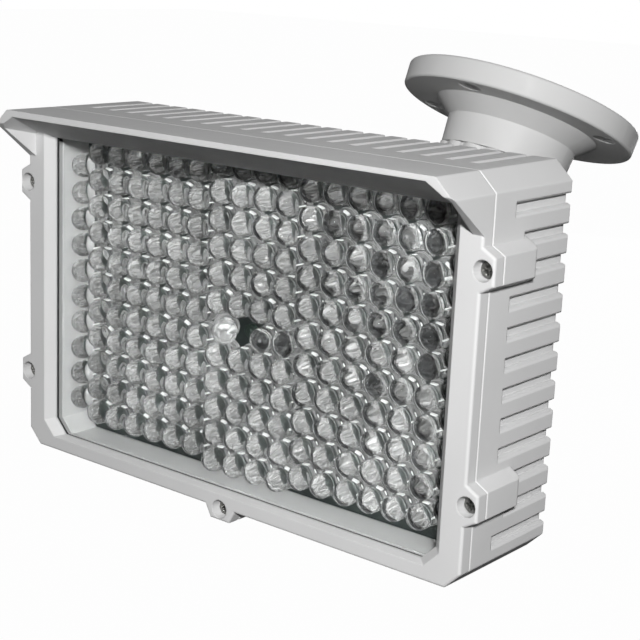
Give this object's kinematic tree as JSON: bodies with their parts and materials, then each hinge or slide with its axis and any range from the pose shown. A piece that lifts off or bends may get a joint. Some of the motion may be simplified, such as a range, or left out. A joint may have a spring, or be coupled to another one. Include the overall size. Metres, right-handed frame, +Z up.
{
  "type": "infrared illuminator",
  "caption": "Infrared lamp with a ribbed housing, a hooded bezel and a window over a field of diodes, on a round flange with a clamped ball and an arm.",
  "frame": {"origin": "centre of the flange's mounting face", "axes": "+Z up with the housing upright, -Y the way the lamp shines, +X to the right seen from the front"},
  "size_m": [0.23, 0.2625, 0.1716],
  "materials": {
    "shell_paint": "satin",
    "bracket_paint": "satin",
    "ball_steel": "satin",
    "seat_plastic": "matte",
    "screw_steel": "satin",
    "gasket_rubber": "matte",
    "seal_foam": "matte",
    "window": "gloss",
    "tray_plastic": "matte",
    "board_green": "satin",
    "led_resin": "gloss",
    "sensor": "gloss",
    "standoff_brass": "satin",
    "capacitor_sleeve": "gloss",
    "inductor_ferrite": "matte",
    "terminal_plastic": "matte",
    "connector_plastic": "matte",
    "gland_plastic": "matte"
  },
  "bodies": {
    "bracket": {"bracket_flange": "bracket_paint"},
    "ring": {"locking_ring": "bracket_paint"},
    "seat": {"ball_seat": "seat_plastic"},
    "ball": {"ball_stud": "ball_steel"},
    "arm": {"arm": "bracket_paint", "arm_lock_nut": "ball_steel"},
    "head": {"rear_housing": "shell_paint", "front_bezel": "shell_paint", "bezel_gasket": "gasket_rubber", "window_glass": "window", "glass_seal": "seal_foam", "bezel_screws": "screw_steel", "led_tray": "tray_plastic", "led_board": "board_green", "leds": "led_resin", "photocell": "sensor", "board_screws": "screw_steel", "board_standoffs": "standoff_brass", "driver_board": "board_green", "driver_screws": "screw_steel", "driver_capacitors": "capacitor_sleeve", "driver_inductor": "inductor_ferrite", "terminal_block": "terminal_plastic", "board_connector": "connector_plastic", "cable_gland": "gland_plastic", "gland_nut": "gland_plastic", "gland_seal": "gasket_rubber", "knuckle_plate": "bracket_paint", "knuckle_screws": "screw_steel", "knuckle_bolt": "screw_steel", "knuckle_nut": "screw_steel"}
  },
  "joints": [
    {"name": "ring_turn", "type": "hinge", "parent": "bracket", "child": "ring", "pos_m": [-0.00252, -0.01483, -0.03512], "axis": [0.0659, 0.3882, 0.9192], "range_deg": [0, 90]},
    {"name": "pan", "type": "hinge", "parent": "bracket", "child": "seat", "pos_m": [-0.00252, -0.01483, -0.03512], "axis": [0.0659, 0.3882, 0.9192], "range_deg": [-170, 170]},
    {"name": "ball_tilt", "type": "hinge", "parent": "seat", "child": "ball", "pos_m": [-0.00252, -0.01483, -0.03512], "axis": [1, 0, 0], "range_deg": [-5, 90]},
    {"name": "arm_twist", "type": "hinge", "parent": "ball", "child": "arm", "pos_m": [-0.00252, -0.01483, -0.03512], "axis": [0, -0.9354, -0.3535], "range_deg": [-90, 90]},
    {"name": "head_tilt", "type": "hinge", "parent": "arm", "child": "head", "pos_m": [-0.00252, -0.11894, -0.07446], "axis": [1, 0, 0], "range_deg": [-45, 60]}
  ]
}
